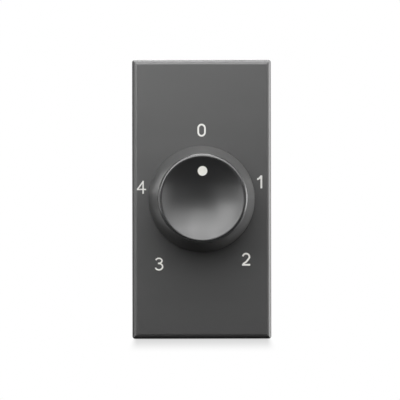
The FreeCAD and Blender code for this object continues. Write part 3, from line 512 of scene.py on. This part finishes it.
def numeral_paths(numeral, stroke):
    """The centre lines of one numeral's strokes, in millimetres about its middle: straight lines and
    elliptic arcs. The bows that reach its top or foot stay half a stroke inside its height."""
    full = numeral_height / 2
    top = full - stroke / 2
    zero_upper = arc((0, top - 0.60), 0.54, 0.60, 0, 180)
    zero_lower = arc((0, 0.60 - top), 0.54, 0.60, 180, 360)
    two_bow = arc((-0.01, top - 0.51), 0.53, 0.51, 172, -30)
    three_upper = arc((-0.04, top - 0.40), 0.50, 0.40, 165, -90)
    three_lower = arc((-0.03, 0.50 - top), 0.59, top / 2 + 0.05, 90, -162, 32)
    return {
        "0": [np.vstack([zero_upper, zero_lower, zero_upper[:1]])],
        "1": [
            [(0.26, -full), (0.26, full)],
            [(0.23, full - 0.10), (0.00, full - 0.40), (-0.39, full - 0.65)],
        ],
        "2": [
            np.vstack([two_bow, [(0.02, -0.41), (-0.49, 0.14 - top)]]),
            [(-0.67, -top), (0.65, -top)],
        ],
        "3": [
            np.vstack([three_upper, [(-0.18, top - 0.80)]]),
            np.vstack([[(-0.18, 0.10)], three_lower]),
        ],
        "4": [
            [(0.25, -full), (0.25, full)],
            [(0.23, full - 0.16), (-0.65, -0.31)],
            [(-0.75, -0.35), (0.74, -0.35)],
        ],
    }[numeral]


def for_camera(nodes, seen, unseen):
    """A shader that is seen for the camera's own rays and unseen for all other rays."""
    ray = nodes.node("ShaderNodeLightPath", {}, {})
    inputs = {0: ray.outputs["Is Camera Ray"], 1: unseen.outputs[0], 2: seen.outputs[0]}
    return nodes.node("ShaderNodeMixShader", {}, inputs).outputs[0]


def floor():
    """The floor: white to the camera but for a painted contact shadow from ambient occlusion and a painted
    soft shadow in front of the face, which no lamp casts. To all other rays it is clear, so that the low
    lamps shine through it."""
    mesh = bpy.data.meshes.new("floor")
    around = ((-1, -1), (1, -1), (1, 1), (-1, 1))
    corners = [(x * floor_half * MM, y * floor_half * MM, floor_z) for x, y in around]
    mesh.from_pydata(corners, [], [(0, 1, 2, 3)])
    made = bpy.data.objects.new("floor", mesh)
    bpy.context.scene.collection.objects.link(made)
    finish = Finish("floor_paper")
    finish.tree.nodes.remove(finish.shader)
    x, y, z = finish.along()
    past_face = face_y / MM - y
    ahead = past_face.reckon("MAXIMUM", past_face, 0.0)
    beside = abs(x + shadow_lean * ahead) - cover_high.x / MM + shadow_inset + shadow_narrowing * ahead
    width = 1 - beside.over(0, shadow_edge + shadow_softening * ahead)
    reach = (1 - ahead.over(0, shadow_length)) * past_face.over(-0.5, 0.5)
    near = finish.node("ShaderNodeAmbientOcclusion", {"samples": 16}, {"Distance": contact_length * MM})
    contact = 1 - Signal(finish, near.outputs["AO"])
    # Painted shadow: the floor's white is darkened in front of the face and, by ambient occlusion, where it
    # meets the object.
    light = 1 - width * (shadow_depth * reach + contact_depth * contact)
    white = finish.node("ShaderNodeEmission", {}, {"Color": finish.mixed(light, (0, 0, 0), (1, 1, 1))})
    clear = finish.node("ShaderNodeBsdfTransparent", {}, {})
    finish.feed(finish.tree.nodes["Material Output"].inputs["Surface"], for_camera(finish, white, clear))
    mesh.materials.append(finish.material)


def world():
    """A plain room: white to the camera, and otherwise dim below and brighter above."""
    made = bpy.data.worlds.new("studio")
    bpy.context.scene.world = made
    made.use_nodes = True
    room = Nodes(made.node_tree)
    room.tree.nodes.clear()
    at = room.node("ShaderNodeTexCoord", {}, {})
    split = room.node("ShaderNodeSeparateXYZ", {}, {0: at.outputs["Generated"]})
    height = {0: split.outputs[2], 1: -0.2, 2: 1.0, 3: world_low, 4: world_high}
    strength = room.node("ShaderNodeMapRange", {}, height)
    dim = room.node("ShaderNodeBackground", {}, {"Strength": strength.outputs[0]})
    white = room.node("ShaderNodeBackground", {}, {"Color": (1, 1, 1)})
    room.node("ShaderNodeOutputWorld", {}, {"Surface": for_camera(room, white, dim)})


def lamp(name, azimuth, elevation, distance, size, light):
    """A square softbox aimed at the face's middle. For that much light there its power is pi times the light
    times the distance squared."""
    a, e = math.radians(azimuth), math.radians(elevation)
    out = Vector((math.sin(a) * math.cos(e), -math.cos(a) * math.cos(e), math.sin(e)))
    data = bpy.data.lights.new(name, "AREA")
    data.size = size * MM
    data.energy = math.pi * light * (distance * MM) ** 2
    made = bpy.data.objects.new(name, data)
    made.location = out * distance * MM + Vector((0, face_y, 0))
    made.rotation_euler = out.to_track_quat("Z", "Y").to_euler()
    made.visible_camera = False
    bpy.context.scene.collection.objects.link(made)


def camera():
    """A long lens at the photograph's angle, framed so that the face's middle falls on its pixel."""
    a, e = math.radians(view_azimuth), math.radians(view_elevation)
    back = Vector((math.sin(a) * math.cos(e), -math.cos(a) * math.cos(e), math.sin(e)))
    middle = picture_pixels / 2
    target = Vector(((middle - face_middle_pixel[0]) / pixels_per_mm * MM, face_y,
                     (face_middle_pixel[1] - middle) / pixels_per_mm * MM))
    data = bpy.data.cameras.new("camera")
    data.sensor_width = sensor_width
    data.lens = sensor_width * view_distance / (picture_pixels / pixels_per_mm)
    data.clip_start = 0.01
    made = bpy.data.objects.new("camera", data)
    made.location = target + back * view_distance * MM
    made.rotation_mode = "QUATERNION"
    roll = Quaternion((0, 0, 1), math.radians(view_roll))
    made.rotation_quaternion = (-back).to_track_quat("-Z", "Y") @ roll
    bpy.context.scene.collection.objects.link(made)
    bpy.context.scene.camera = made


cover_finish = satin_shell()
knob_finish = knob_satin()
ink = print_white()
inlay = inlay_white()
housing_finish = moulded("housing_black", *housing_black, 0.40)
rear_finish = moulded("rear_cover_black", *housing_black, 0.40, gate_place)
terminal_finish = moulded("terminal_grey_moulding", (0.20, 0.20, 0.19), (0.25, 0.25, 0.24), 0.40)
switch_finish = moulded("switch_phenolic", (0.03, 0.028, 0.026), (0.05, 0.046, 0.04), 0.45)
rotor_finish = moulded("rotor_acetal", (0.62, 0.60, 0.53), (0.70, 0.68, 0.60), 0.35)
capacitor_finish = potted_case()
board_finish = laminate()
bleed_bands = [(-0.62, "yellow"), (-0.33, "violet"), (-0.04, "yellow"), (0.55, "gold")]
bleed_finish = banded("bleed_lacquer", bleed_half, bleed_bands)
surge_bands = [(-0.62, "red"), (-0.40, "red"), (-0.18, "black"), (0.55, "gold")]
surge_finish = banded("surge_lacquer", surge_half, surge_bands)
spring_finish = metal("blued_spring_steel", (0.30, 0.30, 0.32), (0.42, 0.42, 0.44), 0.22, (8, 1, 1))
shaft_finish = metal("turned_steel", (0.50, 0.49, 0.47), (0.60, 0.59, 0.57), 0.22, (8, 0.6, 8))
brass_finish = metal("stamped_brass", (0.66, 0.46, 0.18), (0.78, 0.57, 0.26), 0.24, (1, 8, 8))
zinc_finish = metal("zinc_plated_steel", *zinc, 0.24, (8, 8, 1))
bush_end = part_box("switch_plate")[0].y / MM + bush_length
bush_thread = (0.0, 0.0, bush_pitch, bush_radius - bush_height, bush_end)
nickel = ((0.60, 0.57, 0.50), (0.72, 0.69, 0.62))
nickel_finish = metal("plated_brass_bush", *nickel, 0.22, (8, 1, 8), bush_thread)

finishes = {
    "front_cover": cover_finish,
    "knob": knob_finish,
    "pointer_dot": inlay,
    "housing": housing_finish,
    "rear_cover": rear_finish,
    "terminal_block": terminal_finish,
    "switch_body": switch_finish,
    "rotor": rotor_finish,
    "circuit_board": board_finish,
    "capacitor_large": capacitor_finish,
    "capacitor_small": capacitor_finish,
    "bleed_resistor_upper": bleed_finish,
    "bleed_resistor_lower": bleed_finish,
    "surge_resistor": surge_finish,
    "detent_spring": spring_finish,
    "knob_grip_spring": spring_finish,
    "retaining_clip": spring_finish,
    "shaft": shaft_finish,
    "switch_plate": nickel_finish,
    "line_terminal_screw": terminal_screw("line"),
    "load_terminal_screw": terminal_screw("load"),
    "wiper": brass_finish,
    "line_terminal_bar": brass_finish,
    "load_terminal_bar": brass_finish,
}
for name, node in frame["nodes"].items():
    chosen = brass_finish if name.startswith("contact_") else finishes.get(name, zinc_finish)
    for place in node.material_slots:
        place.material = chosen.material

for numeral, (x, z, stroke) in numerals.items():
    raised(numeral_paths(numeral, stroke), stroke, (x, z), f"numeral_{numeral}", ink.material)

floor()
world()
for name, values in lamps.items():
    lamp(name, *values)
camera()
bpy.context.scene.view_settings.view_transform = "Standard"
